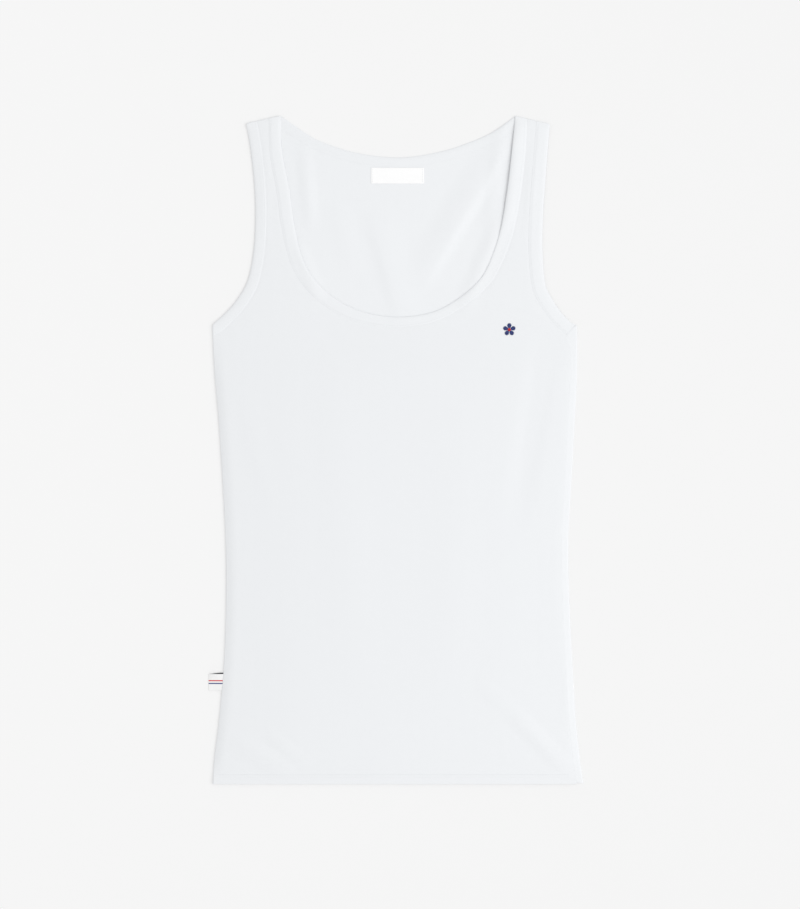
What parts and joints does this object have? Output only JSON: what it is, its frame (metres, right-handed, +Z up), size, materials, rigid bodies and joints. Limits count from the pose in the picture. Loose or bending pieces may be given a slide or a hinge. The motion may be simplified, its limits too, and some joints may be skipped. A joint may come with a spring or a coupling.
{
  "type": "tank top",
  "caption": "Sleeveless scoop-neck rib-knit top laid flat, with bound neck and armholes, a turned-up hem, a neck label and a small side tag.",
  "frame": {"origin": "on the surface that the top lies on, under the middle of its outline", "axes": "+Y from the hem to the shoulders, +X to the viewer's right, +Z up out of the front"},
  "size_m": [0.3642, 0.6489, 0.0081],
  "materials": {
    "knit": "soft white rib knit",
    "binding": "folded strip of the same white rib knit",
    "woven": "smooth white woven tape"
  },
  "bodies": {
    "root": {"front_panel": "knit", "back_panel": "knit", "neck_binding": "binding", "armhole_binding_left": "binding", "armhole_binding_right": "binding", "neck_label": "woven", "side_tag": "woven"}
  },
  "joints": []
}
